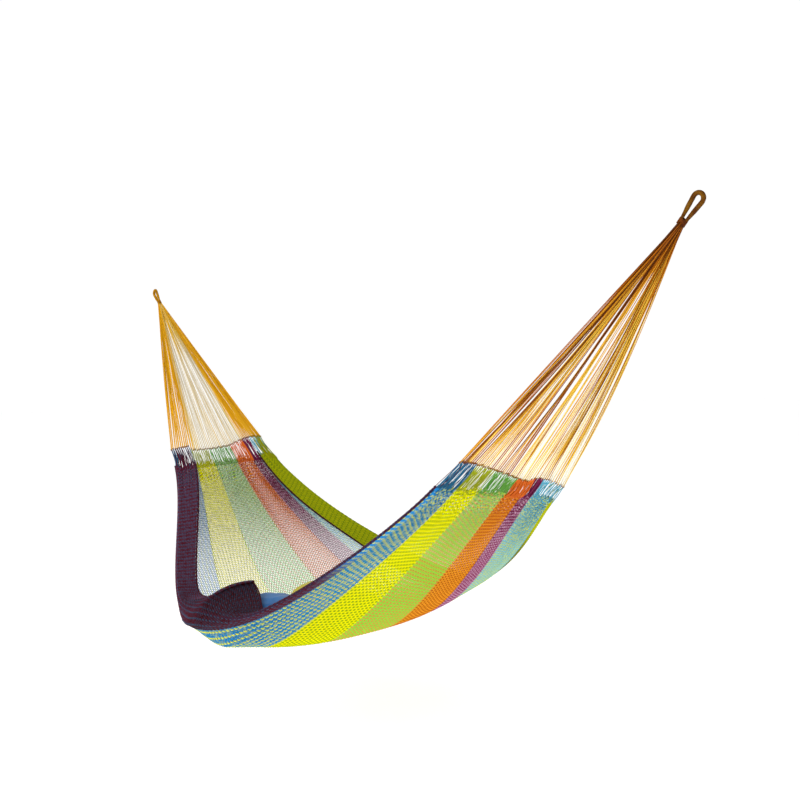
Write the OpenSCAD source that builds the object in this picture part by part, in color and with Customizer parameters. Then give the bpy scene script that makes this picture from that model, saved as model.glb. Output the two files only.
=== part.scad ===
// Rope hammock: a woven net bed in coloured stripes, hung from two cord-wrapped eyes by fans
// of cords. The border stripes fold inward over the long edges, and two cushions lie in the bed.
// Millimetres. +X runs from the far eye to the near eye, +Y from the front edge to the back
// edge and +Z up. The origin is the point where a hook bears inside the far eye.

/* [Hang] */
// Distance between the two hook bearing points
hook_span = 2785; // [2700:5:2900]
// Depth of the lowest point of the bed's middle line below the hooks
sag = 1281; // [1200:1:1350]
// Depth of the two ends of the bed below the hooks
header_drop = 666; // [620:1:700]
// Horizontal distance from the middle of the span to either end of the bed
header_reach = 813; // [780:1:850]
// Place of the lowest point along the bed, where 0 is the middle and 1 the near end
low_place = 0.03; // [-0.05:0.01:0.1]
// Sharpness of the bend on the far side of the lowest point
far_bend = 1.64; // [1.2:0.01:2.5]
// Sharpness of the bend on the near side of the lowest point
near_bend = 4.4; // [2:0.1:5]

/* [Bed] */
// Width of the bed at its far end
far_header_w = 432; // [400:1:480]
// Width of the bed at its near end
near_header_w = 562; // [500:1:600]
// Width of the bed at its middle, measured along the cloth between the two folds
bed_w = 1186; // [1100:1:1250]
// Slope of the cloth at its edges in the middle of the bed, in degrees
edge_slope = 24; // [15:1:30]
// Slope of the cloth at its edges at the two ends of the bed, in degrees
end_slope = -4; // [-6:1:0]
// How quickly the cloth steepens from the middle line to the edges
slope_power = 1.4; // [1.2:0.1:2]
// How quickly the bed widens from its ends to its middle
belly_power = 1.8; // [1.5:0.1:2.2]
// Sideways offset of the middle line at the middle of the bed
belly_offset = 37; // [0:1:50]
// Skew of the far end, by which its back corner lies further along the bed
far_skew = -15; // [-20:1:20]
// Skew of the near end, by which its back corner lies further along the bed
near_skew = -82; // [-100:1:0]
// Share of the bed's half length that is woven, the rest being open end loops
woven_share = 0.94; // [0.9:0.01:0.96]
// Thickness of the woven cloth
cloth_t = 6; // [4:0.5:7]
// Gap between neighbouring stripes
seam_gap = 2; // [1.5:0.5:4]

/* [Borders] */
// Width of the folded part of the front border
front_flap = 72; // [50:1:90]
// Share of the half width that the folded back border covers
back_fold = 0.226; // [0.18:0.01:0.28]
// Share of the half width outside the fold that belongs to a border
fold_lip = 0.045; // [0.03:0.005:0.06]
// Radius of the fold at the middle of the cloth
fold_r = 4.5; // [4.5:0.5:7]
// Depth by which the weight of the folded borders draws the edges down
edge_drop = 9; // [0:1:15]
// Radius of the cord along a border's free edge
edge_cord_r = 3.5; // [2:0.5:5]
// Height by which the cushion lifts the front edge
edge_lift = 55; // [0:1:70]
// Distance by which the cushion pushes the front edge outward
edge_push = 25; // [0:1:40]
// Length of the front border where it is drawn over the cushion
cover_len = 250; // [240:5:265]

/* [Cords] */
// Number of hairpin cords in each fan
hairpins = 28; // [28:7:28]
// Radius of a fan cord
cord_r = 1.25; // [1:0.05:1.3]
// Distance between cords where they meet at the neck
neck_pitch = 3; // [2.9:0.1:3.5]
// Gap between the end loops and the woven cloth
loop_gap = 5; // [4:0.5:8]

/* [Eyes] */
// Radius of the bundle of cords inside an eye
core_r = 4.2; // [3:0.1:4.5]
// Outer radius of the cord wound round that bundle
wrap_r = 6; // [5.5:0.1:6.5]
// Radius of the eye's bend, at the middle of the rope
eye_r = 13.5; // [12:0.5:18]
// Distance from the hook bearing point to the middle of the neck
neck_reach = 69; // [60:1:80]
// Length of the whipping that closes the neck
whip_len = 16; // [12:1:20]
// Thickness of the whipping
whip_t = 2; // [1:0.5:3]

/* [Cushions] */
// Half length of the blue cushion along the bed
blue_half_x = 150; // [120:5:155]
// Half width of the blue cushion across the bed
blue_half_y = 142; // [120:1:148]
// Half thickness of the blue cushion
blue_half_z = 70; // [50:1:75]
// Half length of the yellow cushion along the bed
yellow_half_x = 170; // [140:5:180]
// Half width of the yellow cushion across the bed
yellow_half_y = 150; // [120:5:155]
// Half thickness of the yellow cushion
yellow_half_z = 80; // [60:1:84]
// Thickness of the cushion covers
cover_t = 1.5; // [1:0.5:3]

/* [Hidden] */
$fn = 24;

// Stripe boundaries across the bed: -1 is the front fold, 0 the middle line, 1 the back fold
blue_yellow = -0.638;
yellow_green = -0.275;
green_orange = 0.16;
orange_purple = 0.462;
purple_light_blue = 0.64;

stations = 36;       // steps along the bed
fold_steps = 5;      // steps round a border's fold
flap_steps = 7;      // steps across a border's folded part
step = 0.002;        // step for slopes found by difference
lateral = [0, 1, 0];
loop_half = 2 * cord_r + 0.5;
cords = 2 * hairpins;
neck_columns = 8;
neck_rows = cords / neck_columns;
neck_gap = 9;        // clear length between an eye's rope ends and the fan's cord ends
rope_end = neck_reach + whip_len / 2 + 2;
fan_start = rope_end + neck_gap;
fit_gap = 0.3;

blue_u = 0.06;
blue_w = -0.585;
blue_lift = 27;
blue_lean = 0;
yellow_u = -0.02;
yellow_w = -0.08;
yellow_lift = 20;
yellow_lean = -4;

// Where the cushion under the front border lies along the bed, and how far its effect reaches
tuck_place = 0.08;
tuck_reach = 0.23;
cover_place = 0.0;
cover_reach = 0.27;

// ---- Surface of the bed -------------------------------------------------------------------
// u runs along the bed from -1 at the far end to 1 at the near end, w across it.

function unit(v) = v / norm(v);
function mix(a, b, t) = a + (b - a) * t;
function smooth(t) = let (c = min(1, max(0, t))) c * c * (3 - 2 * c);
function bell(t) = exp(-t * t);

function along(u) = u < low_place ? (u - low_place) / (1 + low_place)
                                  : (u - low_place) / (1 - low_place);
function bend(u) = u < low_place ? far_bend : near_bend;
function rise(u) = (sqrt(1 + pow(bend(u) * along(u), 2)) - 1) / (sqrt(1 + pow(bend(u), 2)) - 1);

// A point of the middle line, before its sideways offset
function line(u) = [hook_span / 2 + header_reach * u, 0, -sag + (sag - header_drop) * rise(u)];
function forward(u) = unit(line(u + step) - line(u - step));
function upward(u) = let (f = forward(u)) [-f.z, 0, f.x];

function belly(u) = pow(max(0, 1 - u * u), belly_power);
function half_width(u) = mix(u < 0 ? far_header_w : near_header_w, bed_w, belly(u)) / 2;
function full_slope(u) = mix(end_slope, edge_slope, belly(u));
function slope(u, w) = full_slope(u) * sign(w) * pow(abs(w), slope_power);

// Position across and above the middle line, by three-point Gauss integration of the slope
gauss = [[0.1127, 5 / 18], [0.5, 8 / 18], [0.8873, 5 / 18]];
function across(u, w) = half_width(u) * w
    * (gauss[0][1] * cos(slope(u, gauss[0][0] * w)) + gauss[1][1] * cos(slope(u, gauss[1][0] * w))
    + gauss[2][1] * cos(slope(u, gauss[2][0] * w)));
function above(u, w) = half_width(u) * w
    * (gauss[0][1] * sin(slope(u, gauss[0][0] * w)) + gauss[1][1] * sin(slope(u, gauss[1][0] * w))
    + gauss[2][1] * sin(slope(u, gauss[2][0] * w)));

// The cushion tucked under the front border lifts the front edge and pushes it outward
function tuck(u) = bell((u - tuck_place) / tuck_reach);
function tuck_lift(u, w) = edge_lift * tuck(u) * smooth((-w - 0.82) / 0.18);
function tuck_push(u, w) = -edge_push * tuck(u) * smooth((-w - 0.6) / 0.3);

// A point of the section at u, as [across, above]
function section(u, w) = [
    across(u, w) + belly_offset * belly(u) + tuck_push(u, w),
    above(u, w) + tuck_lift(u, w) - edge_drop * smooth((abs(w) - 0.7) / 0.3)
];
function skew(u, w) = (u < 0 ? far_skew : near_skew) * w * u * u;

// A section point placed in space
function place(u, w, p) = line(u) + forward(u) * skew(u, w) + lateral * p[0] + upward(u) * p[1];
function bed_point(u, w) = place(u, w, section(u, w));

// ---- Closed sheets and lofts ---------------------------------------------------------------

function path_side(path, j) = let (
    a = path[max(0, j - 1)],
    b = path[min(len(path) - 1, j + 1)],
    t = unit(b - a)
) [-t[1], t[0]];

function station(i) = woven_share * (2 * i / stations - 1);

// Closed sheet whose middle is the path of section points at each station
module sheet(paths, ws) {
    rows = len(paths);
    cols = len(paths[0]);
    points = [
        for (side = [1, -1]) for (i = [0 : rows - 1]) for (j = [0 : cols - 1])
            place(station(i), ws[j],
                paths[i][j] + side * cloth_t / 2 * path_side(paths[i], j))
    ];
    low = rows * cols;
    faces = [
        for (i = [0 : rows - 2]) for (j = [0 : cols - 2]) let (p = i * cols + j, q = p + cols)
            each [
                [p, q + 1, q], [p, p + 1, q + 1],
                [low + p, low + q, low + q + 1], [low + p, low + q + 1, low + p + 1]
            ],
        for (i = [0 : rows - 2]) let (p = i * cols, q = p + cols, r = p + cols - 1, s = r + cols)
            each [
                [p, q, low + q], [p, low + q, low + p],
                [r, low + s, s], [r, low + r, low + s]
            ],
        for (j = [0 : cols - 2]) let (p = j, q = (rows - 1) * cols + j)
            each [
                [p, low + p + 1, p + 1], [p, low + p, low + p + 1],
                [q, q + 1, low + q + 1], [q, low + q + 1, low + q]
            ]
    ];
    polyhedron(points, faces);
}

// Closed solid through a row of rings, with its two ends closed to their middles
module loft(rings) {
    n = len(rings[0]);
    last = len(rings) - 1;
    function middle(ring) = [for (r = ring) 1] * ring / len(ring);
    points = [for (ring = rings) each ring, middle(rings[0]), middle(rings[last])];
    faces = [
        for (k = [0 : last - 1]) for (i = [0 : n - 1])
            let (p = k * n + i, q = k * n + (i + 1) % n)
            each [[p, q + n, q], [p, p + n, q + n]],
        for (i = [0 : n - 1]) [(last + 1) * n, i, (i + 1) % n],
        for (i = [0 : n - 1]) [(last + 1) * n + 1, last * n + (i + 1) % n, last * n + i]
    ];
    polyhedron(points, faces);
}

// ---- Stripes -------------------------------------------------------------------------------

// A plain stripe between two boundaries, drawn in by half the seam gap on each side
module stripe(w_from, w_to, steps) {
    paths = [
        for (i = [0 : stations]) let (
            u = station(i),
            inset = seam_gap / 2 / half_width(u)
        ) [for (j = [0 : steps]) section(u, mix(w_from + inset, w_to - inset, j / steps))]
    ];
    ws = [for (j = [0 : steps]) mix(w_from, w_to, j / steps)];
    sheet(paths, ws);
}

// A border, from the lip outside the fold, round the fold and back over the bed.
// side is 1 for the back edge and -1 for the front edge, fold the share of the half width
// that the folded part covers.
function border_ws(side, fold) = [
    side * (1 - fold_lip), side * (1 - fold_lip / 2), side,
    for (j = [1 : fold_steps]) side,
    for (j = [1 : flap_steps]) side * (1 - fold * j / flap_steps)
];
function normal_at(u, w) = [-sin(slope(u, w)), cos(slope(u, w))];
function folded_path(u, side, fold) = let (
    edge = section(u, side),
    out = side * [cos(slope(u, side)), sin(slope(u, side))],
    up = normal_at(u, side)
) [
    section(u, side * (1 - fold_lip)) + [side * seam_gap / 2, 0],
    section(u, side * (1 - fold_lip / 2)),
    edge,
    for (j = [1 : fold_steps]) let (a = 180 * j / fold_steps)
        edge + fold_r * (up * (1 - cos(a)) + out * sin(a)),
    for (j = [1 : flap_steps]) let (w = side * (1 - fold * j / flap_steps))
        section(u, w) + 2 * fold_r * normal_at(u, w)
            + [0, edge_lift * tuck(u) * (side < 0 ? 1 - smooth((-w - 0.82) / 0.18) : 0)]
];

// The front border's run over the cushion: out and up from the edge, then in across the top
run_steps = fold_steps + flap_steps;
function cover_angle(t) = 70 + 115 * pow(t, 0.35);
function cover_sum(j) = j == 0 ? [0, 0]
    : cover_sum(j - 1) + cover_len / run_steps
        * [-cos(cover_angle((j - 0.5) / run_steps)), sin(cover_angle((j - 0.5) / run_steps))];
cover_run = [for (j = [1 : run_steps]) cover_sum(j)];
function covering_path(u) = let (edge = section(u, -1)) [
    section(u, -1 + fold_lip) - [seam_gap / 2, 0],
    section(u, -1 + fold_lip / 2),
    edge,
    for (p = cover_run) edge + p
];
function covered(u) = bell(pow((u - cover_place) / cover_reach, 2));
function front_path(u) = mix(
    folded_path(u, -1, front_flap / half_width(u)), covering_path(u), covered(u)
);
function reversed(list) = [for (i = [len(list) - 1 : -1 : 0]) list[i]];

// Cord along a border's free edge, just beyond the last point of its path
module edge_cord(paths, ws) {
    last = len(ws) - 1;
    middles = [
        for (i = [0 : stations]) let (
            p = paths[i],
            beyond = unit(p[last] - p[last - 1])
        ) place(station(i), ws[last], p[last] + (edge_cord_r + 1) * beyond)
    ];
    rings = [
        for (i = [0 : stations]) [
            for (a = [0 : 60 : 300])
                middles[i] + edge_cord_r * (cos(a) * lateral + sin(a) * upward(station(i)))
        ]
    ];
    loft(rings);
}

front_paths = [for (i = [0 : stations]) front_path(station(i))];
back_paths = [for (i = [0 : stations]) folded_path(station(i), 1, back_fold)];
front_ws = border_ws(-1, front_flap / half_width(woven_share));
back_ws = border_ws(1, back_fold);

module maroon_border() {
    color("#6b1f2c") sheet([for (p = front_paths) reversed(p)], reversed(front_ws));
}
module blue_stripe() {
    color("#3f86b4") stripe(-1 + fold_lip, blue_yellow, 4);
}
module yellow_stripe() {
    color("#ece300") stripe(blue_yellow, yellow_green, 3);
}
module green_stripe() {
    color("#8dbb3f") stripe(yellow_green, green_orange, 3);
}
module orange_stripe() {
    color("#f08018") stripe(green_orange, orange_purple, 3);
}
module purple_stripe() {
    color("#a63a6b") stripe(orange_purple, purple_light_blue, 2);
}
module light_blue_stripe() {
    color("#7cc4cf") stripe(purple_light_blue, 1 - fold_lip, 3);
}
module olive_border() {
    color("#a5a81e") sheet(back_paths, back_ws);
}
module front_edge_cord() {
    color("#4a1420") edge_cord(front_paths, front_ws);
}
module back_edge_cord() {
    color("#4a1420") edge_cord(back_paths, back_ws);
}

// ---- Cords ---------------------------------------------------------------------------------

// Closed six-sided cord run through a row of points, mitred at its corners
module cord(path) {
    last = len(path) - 1;
    flat = unit(cross(path[1] - path[0], path[2] - path[1]));
    loft([
        for (i = [0 : last]) let (
            before = unit(path[max(1, i)] - path[max(1, i) - 1]),
            after = unit(path[min(last, i + 1)] - path[min(last, i + 1) - 1]),
            t = unit(before + after),
            out = unit(cross(t, flat)),
            up = cross(t, out)
        ) [
            for (a = [0 : 60 : 300])
                path[i] + cord_r * (cos(a) / (before * t) * out + sin(a) * up)
        ]
    ]);
}

// end is -1 for the far end and 1 for the near end
function hook(end) = end < 0 ? [0, 0, 0] : [hook_span, 0, 0];
function arm_axis(end) = unit(line(end) - hook(end));
function arm_side(end) = cross(lateral, arm_axis(end));
function header_w(k) = -1 + 2 * (k + 0.5) / cords;
function neck_point(end, k) = let (
    column = floor(k / neck_rows),
    row = k - column * neck_rows
) hook(end) + arm_axis(end) * fan_start
    + lateral * neck_pitch * (column - (neck_columns - 1) / 2)
    + arm_side(end) * neck_pitch * (row - (neck_rows - 1) / 2);

module arm_cords(end) {
    for (i = [0 : hairpins - 1])
        cord([
            neck_point(end, 2 * i),
            bed_point(end, header_w(2 * i)),
            bed_point(end, header_w(2 * i + 1)),
            neck_point(end, 2 * i + 1)
        ]);
}

// Loops of the bed's own cords, each hooked through one hairpin of the fan
module end_loops(end) {
    for (i = [0 : hairpins - 1]) {
        w = (header_w(2 * i) + header_w(2 * i + 1)) / 2;
        top = bed_point(end, w) - arm_axis(end) * loop_half;
        base = bed_point(end * woven_share, w);
        foot = base + unit(top - base) * loop_gap;
        offset = upward(end) * loop_half;
        cord([foot - offset, top - offset, top + offset, foot + offset]);
    }
}

module far_arm_cords() {
    color("#d69a1c") arm_cords(-1);
}
module near_arm_cords() {
    color("#b5651d") arm_cords(1);
}
module far_end_loops() {
    color("#8a8f4a") end_loops(-1);
}
module near_end_loops() {
    color("#7f9440") end_loops(1);
}

// ---- Eyes ----------------------------------------------------------------------------------

// An eye is drawn hanging down -Y in its own plane, with the hook bearing at its origin
bend_drop = eye_r - wrap_r;                      // bearing point to the centre of the bend
leg_half = wrap_r + fit_gap / 2;                 // half the distance between legs at the neck
leg_drop = rope_end - bend_drop;                 // centre of the bend to the ends of the legs
leg_far = norm([leg_half, leg_drop]);
lean = asin(eye_r / leg_far) - atan(leg_half / leg_drop);
leg_len = sqrt(leg_far * leg_far - eye_r * eye_r);

// Rope of the given outer and inner radius, bent round the hook and down both legs
module eye_rope(outer, inner, length) {
    translate([0, -bend_drop, 0]) {
        rotate([0, 0, -lean]) rotate_extrude(angle = 180 + 2 * lean) translate([eye_r, 0])
            rope_section(outer, inner);
        for (side = [-1, 1])
            rotate([0, 0, side * -lean]) translate([side * eye_r, 0, 0]) rotate([90, 0, 0])
                linear_extrude(length) rope_section(outer, inner);
    }
}
module rope_section(outer, inner) {
    difference() {
        circle(outer);
        if (inner > 0) circle(inner);
    }
}

// Oval collar that closes the neck
module collar() {
    translate([0, -neck_reach + whip_len / 2, 0]) rotate([90, 0, 0]) linear_extrude(whip_len)
        difference() {
            oval(wrap_r + fit_gap + whip_t);
            oval(wrap_r + fit_gap);
        }
}
module oval(r) {
    translate([-leg_half - lean_room, 0]) circle(r);
    translate([leg_half + lean_room, 0]) circle(r);
    square([2 * (leg_half + lean_room), 2 * r], center = true);
}
lean_room = (rope_end - neck_reach + whip_len / 2) * tan(lean);

// Stand an eye up in the plane of the hooks, turned to pull along its arm
module at_eye(end) {
    axis = arm_axis(end);
    translate(hook(end)) rotate([0, atan2(axis.x, axis.z) + 180, 0]) rotate([90, 0, 0])
        children();
}

module eye_core(end) {
    at_eye(end) eye_rope(core_r, 0, leg_len);
}
module eye_wrapping(end) {
    at_eye(end) eye_rope(wrap_r, core_r + fit_gap, leg_len - 2);
}
module far_eye_core() {
    color("#c98a1a") eye_core(-1);
}
module far_eye_wrapping() {
    color("#c08a1e") eye_wrapping(-1);
}
module far_eye_whipping() {
    color("#9a6a14") at_eye(-1) collar();
}
module near_eye_core() {
    color("#a35a14") eye_core(1);
}
module near_eye_wrapping() {
    color("#7d5410") eye_wrapping(1);
}
module near_eye_whipping() {
    color("#5f2c08") at_eye(1) collar();
}

// ---- Cushions ------------------------------------------------------------------------------

function signed_power(v, e) = sign(v) * pow(abs(v), e);

// Crowned square pillow lying on the bed at (u, w), leaning across it by the angle lean,
// and shrunk all round by inset
module pillow(u, w, half, lift, lean_angle, inset) {
    f = forward(u);
    tilt = slope(u, w) + lean_angle;
    n = unit(cross(f, cos(tilt) * lateral + sin(tilt) * upward(u)));
    side = cross(n, f);
    middle = bed_point(u, w) + n * (half.z + lift);
    size = half - inset * [1, 1, 1];
    rings = [
        for (lat = [-80 : 20 : 80]) [
            for (lon = [0 : 15 : 345])
                middle + f * size.x * pow(cos(lat), 0.9) * signed_power(cos(lon), 0.65)
                    + side * size.y * pow(cos(lat), 0.9) * signed_power(sin(lon), 0.65)
                    + n * size.z * sin(lat)
        ]
    ];
    loft(rings);
}

module blue_pillow(inset) {
    pillow(blue_u, blue_w, [blue_half_x, blue_half_y, blue_half_z], blue_lift, blue_lean, inset);
}
module yellow_pillow(inset) {
    pillow(yellow_u, yellow_w, [yellow_half_x, yellow_half_y, yellow_half_z], yellow_lift, yellow_lean, inset);
}
module blue_cushion_cover() {
    color("#3d74ad") difference() {
        blue_pillow(0);
        blue_pillow(cover_t);
    }
}
module blue_cushion_filling() {
    color("#eeeeee") blue_pillow(cover_t + 1);
}
module yellow_cushion_cover() {
    color("#b5a800") difference() {
        yellow_pillow(0);
        yellow_pillow(cover_t);
    }
}
module yellow_cushion_filling() {
    color("#eeeeee") yellow_pillow(cover_t + 1);
}

far_eye_core();
far_eye_wrapping();
far_eye_whipping();
far_arm_cords();
far_end_loops();
maroon_border();
blue_stripe();
yellow_stripe();
green_stripe();
orange_stripe();
purple_stripe();
light_blue_stripe();
olive_border();
front_edge_cord();
back_edge_cord();
near_end_loops();
near_arm_cords();
near_eye_whipping();
near_eye_wrapping();
near_eye_core();
blue_cushion_cover();
blue_cushion_filling();
yellow_cushion_cover();
yellow_cushion_filling();
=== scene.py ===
"""Looks of the rope hammock: netted stripes, cord fans, bound eyes and two soft cushions.

Everything is built in metres in the frame of the CAD part. u runs along the bed from -1 at the
far end to 1 at the near end, w across it from -1 at the front fold to 1 at the back fold.
"""

import math

import bpy
import numpy as np
from mathutils import Matrix, Vector


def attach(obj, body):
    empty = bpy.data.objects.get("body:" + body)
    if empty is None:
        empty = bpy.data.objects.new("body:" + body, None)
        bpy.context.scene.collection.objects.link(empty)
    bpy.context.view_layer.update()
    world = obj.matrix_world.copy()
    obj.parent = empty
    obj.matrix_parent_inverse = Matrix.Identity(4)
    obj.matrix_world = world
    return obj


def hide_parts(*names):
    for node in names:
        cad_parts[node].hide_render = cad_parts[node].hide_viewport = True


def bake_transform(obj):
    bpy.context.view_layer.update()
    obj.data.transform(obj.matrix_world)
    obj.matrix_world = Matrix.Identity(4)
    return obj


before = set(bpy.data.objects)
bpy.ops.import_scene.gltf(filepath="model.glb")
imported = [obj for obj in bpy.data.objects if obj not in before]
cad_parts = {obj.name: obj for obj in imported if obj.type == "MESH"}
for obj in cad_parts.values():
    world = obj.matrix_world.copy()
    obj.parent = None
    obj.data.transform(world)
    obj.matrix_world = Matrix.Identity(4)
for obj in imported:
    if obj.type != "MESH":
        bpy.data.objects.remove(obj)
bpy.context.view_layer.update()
random = np.random.default_rng(7)

# ---- Shape of the bed ----------------------------------------------------------------------

HOOK_SPAN = 2.785       # between the two hooks
SAG = 1.281             # of the bed's lowest point under the hooks
HEADER_DROP = 0.666     # of the bed's ends under the hooks
HEADER_REACH = 0.813    # from the middle of the bed to an end, along X
LOW_PLACE = 0.03        # u of the lowest point
FAR_BEND = 1.64         # how sharply the bed turns at its lowest point, towards the far end
NEAR_BEND = 4.4         # and towards the near end
FAR_HEADER_W = 0.432    # width of the bed at its far end
NEAR_HEADER_W = 0.562   # and at its near end
BED_W = 1.186           # and at its middle, measured along the cloth
EDGE_SLOPE = math.radians(24)
END_SLOPE = math.radians(-4)
SLOPE_POWER = 1.4
BELLY_POWER = 1.8
BELLY_OFFSET = 0.037    # of the middle of the bed, sideways
FAR_SKEW = -0.015       # how much further an edge reaches than the middle line, at the far end
NEAR_SKEW = -0.082      # and at the near end
WOVEN = 0.94            # u where the weave stops and the end loops begin
FRONT_FLAP = 0.072      # width of the front border's folded part
BACK_FOLD = 0.226       # share of the half width that the folded back border covers
FAR_BACK_FOLD = 0.1     # how much more of it is covered near the far end
FOLD_LIP = 0.045
FOLD_R = 0.0045
EDGE_DROP = 0.009
EDGE_LIFT = 0.055       # of the front edge over the cushion
EDGE_PUSH = 0.025       # of the front edge outward, beside the cushion
LIFT_FROM = 0.82        # share of the half width from which the front edge lifts
COVER_LEN = 0.25        # of the part of the front border that is drawn over the cushion
COVER_START = 70        # degrees from level where that part leaves the edge
COVER_TURN = 115        # degrees that it turns over
TUCK_PLACE = 0.08       # u of the middle of the cushion's bulge
TUCK_REACH = 0.23
COVER_REACH = 0.27
FOLD_STEPS = 5
FLAP_STEPS = 7
THREE_POINTS = ((0.1127, 5 / 18), (0.5, 8 / 18), (0.8873, 5 / 18))    # Gauss integration
NEARBY = 0.002          # distance between two points whose difference gives a direction
LATERAL = np.array([0.0, 1.0, 0.0])
VERTICAL = np.array([0.0, 0.0, 1.0])


def mix(a, b, t):
    return a + (b - a) * t


def smooth(t):
    t = np.clip(t, 0, 1)
    return t * t * (3 - 2 * t)


def between(value, start, end):
    """0 up to start and 1 from end on, with a smooth rise from one to the other."""
    return smooth((value - start) / (end - start))


def unit(v):
    return v / np.linalg.norm(v, axis=-1, keepdims=True)


def line(u):
    """The middle line of the bed, before its sideways offset."""
    u = np.asarray(u, float)
    low = u < LOW_PLACE
    along = (u - LOW_PLACE) / np.where(low, 1 + LOW_PLACE, 1 - LOW_PLACE)
    bend = np.where(low, FAR_BEND, NEAR_BEND)
    rise = (np.sqrt(1 + (bend * along) ** 2) - 1) / (np.sqrt(1 + bend**2) - 1)
    x = HOOK_SPAN / 2 + HEADER_REACH * u
    return np.stack([x, 0 * x, -SAG + (SAG - HEADER_DROP) * rise], -1)


def forward(u):
    return unit(line(u + NEARBY) - line(u - NEARBY))


def upward(u):
    f = forward(u)
    return np.stack([-f[..., 2], 0 * f[..., 0], f[..., 0]], -1)


def belly(u):
    return np.maximum(0, 1 - u * u) ** BELLY_POWER


def half_width(u):
    header = np.where(u < 0, FAR_HEADER_W, NEAR_HEADER_W)
    return mix(header, BED_W, belly(u)) / 2


def slope(u, w):
    return mix(END_SLOPE, EDGE_SLOPE, belly(u)) * np.sign(w) * np.abs(w) ** SLOPE_POWER


def tuck(u):
    return np.exp(-(((u - TUCK_PLACE) / TUCK_REACH) ** 2))


def section(u, w):
    """A point of the cross section at u, as (across, above)."""
    across = above = 0
    for share, weight in THREE_POINTS:
        a = slope(u, share * w)
        across = across + weight * np.cos(a)
        above = above + weight * np.sin(a)
    wide = half_width(u) * w
    push = EDGE_PUSH * tuck(u) * between(-w, 0.6, 0.9)
    lift = EDGE_LIFT * tuck(u) * between(-w, LIFT_FROM, 1)
    drop = EDGE_DROP * between(np.abs(w), 0.7, 1)
    return np.stack(
        [wide * across + BELLY_OFFSET * belly(u) - push, wide * above + lift - drop], -1
    )


def place(u, w, p):
    """A section point placed in space."""
    u = np.asarray(u, float)
    skew = np.where(u < 0, FAR_SKEW, NEAR_SKEW) * w * u * u
    return (
        line(u)
        + forward(u) * np.asarray(skew)[..., None]
        + LATERAL * p[..., :1]
        + upward(u) * p[..., 1:]
    )


def bed_point(u, w):
    return place(u, w, section(u, w))


def normal_at(u, w):
    a = slope(u, w)
    return np.stack([-np.sin(a), np.cos(a)], -1)


def folded_path(u, side, fold):
    """Section points of a border: the lip, round the fold and back over the bed."""
    one = side * np.ones_like(u)
    edge = section(u, one)
    a = slope(u, one)
    out = side * np.stack([np.cos(a), np.sin(a)], -1)
    up = normal_at(u, one)
    points = [section(u, one * (1 - FOLD_LIP)), section(u, one * (1 - FOLD_LIP / 2)), edge]
    for j in range(1, FOLD_STEPS + 1):
        turn = math.pi * j / FOLD_STEPS
        points.append(edge + FOLD_R * (up * (1 - math.cos(turn)) + out * math.sin(turn)))
    for j in range(1, FLAP_STEPS + 1):
        w = side * (1 - fold * j / FLAP_STEPS)
        p = section(u, w) + 2 * FOLD_R * normal_at(u, w)
        if side < 0:
            p[..., 1] += EDGE_LIFT * tuck(u) * (1 - between(-w, LIFT_FROM, 1))
        points.append(p)
    return np.stack(points, 1)


def covering_path(u):
    """Section points of the front border where it is drawn over the cushion."""
    one = -np.ones_like(u)
    edge = section(u, one)
    points = [section(u, one * (1 - FOLD_LIP)), section(u, one * (1 - FOLD_LIP / 2)), edge]
    steps = FOLD_STEPS + FLAP_STEPS
    run = np.zeros(2)
    for j in range(1, steps + 1):
        a = math.radians(COVER_START + COVER_TURN * ((j - 0.5) / steps) ** 0.35)
        run = run + COVER_LEN / steps * np.array([-math.cos(a), math.sin(a)])
        points.append(edge + run)
    return np.stack(points, 1)


def front_path(u):
    """Section points of the front border. Its cover ends more squarely on the near side."""
    cover = np.exp(-(np.abs(u / COVER_REACH) ** np.where(u < 0, 4, 5)))[:, None, None]
    return mix(folded_path(u, -1, FRONT_FLAP / half_width(u)), covering_path(u), cover)


def back_path(u):
    return folded_path(u, 1, BACK_FOLD + FAR_BACK_FOLD * between(-u, 0.45, 0.85))


# ---- Cords ---------------------------------------------------------------------------------


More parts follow.
